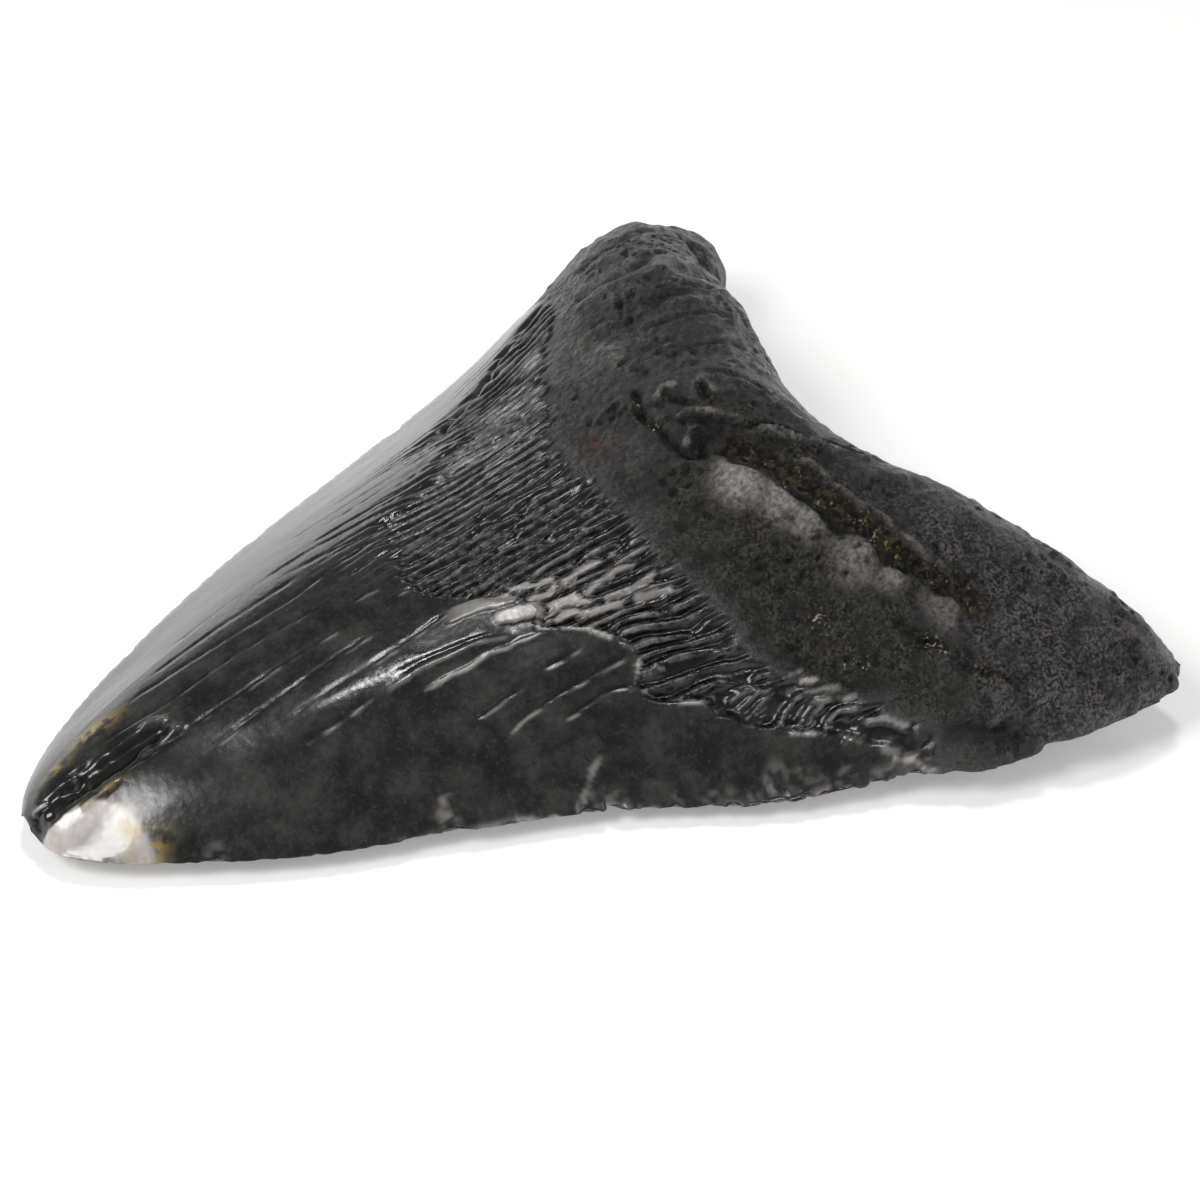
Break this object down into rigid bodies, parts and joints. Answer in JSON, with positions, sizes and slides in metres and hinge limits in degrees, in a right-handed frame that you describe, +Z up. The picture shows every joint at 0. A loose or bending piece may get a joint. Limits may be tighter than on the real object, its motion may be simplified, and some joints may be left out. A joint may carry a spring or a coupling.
{
  "type": "megalodon tooth",
  "caption": "Broad triangular fossil shark tooth with a glossy black blade, a striated neck where the enamel has peeled and a thick rough root with rounded lobes, lying on its flat labial face.",
  "frame": {"origin": "middle of the footprint's box, on the plane of the flat labial face that the tooth lies on", "axes": "+X from the tip of the blade to the root, +Y across the root to the far lobe, +Z up, out of the domed lingual face"},
  "size_m": [0.1424, 0.129, 0.0334],
  "materials": {
    "fossil_enamel": "polished black fossil enamel over the blade, satin black striated dentine and dark brown-black porous bone on the root"
  },
  "bodies": {
    "root": {"tooth": "fossil_enamel"}
  },
  "joints": []
}
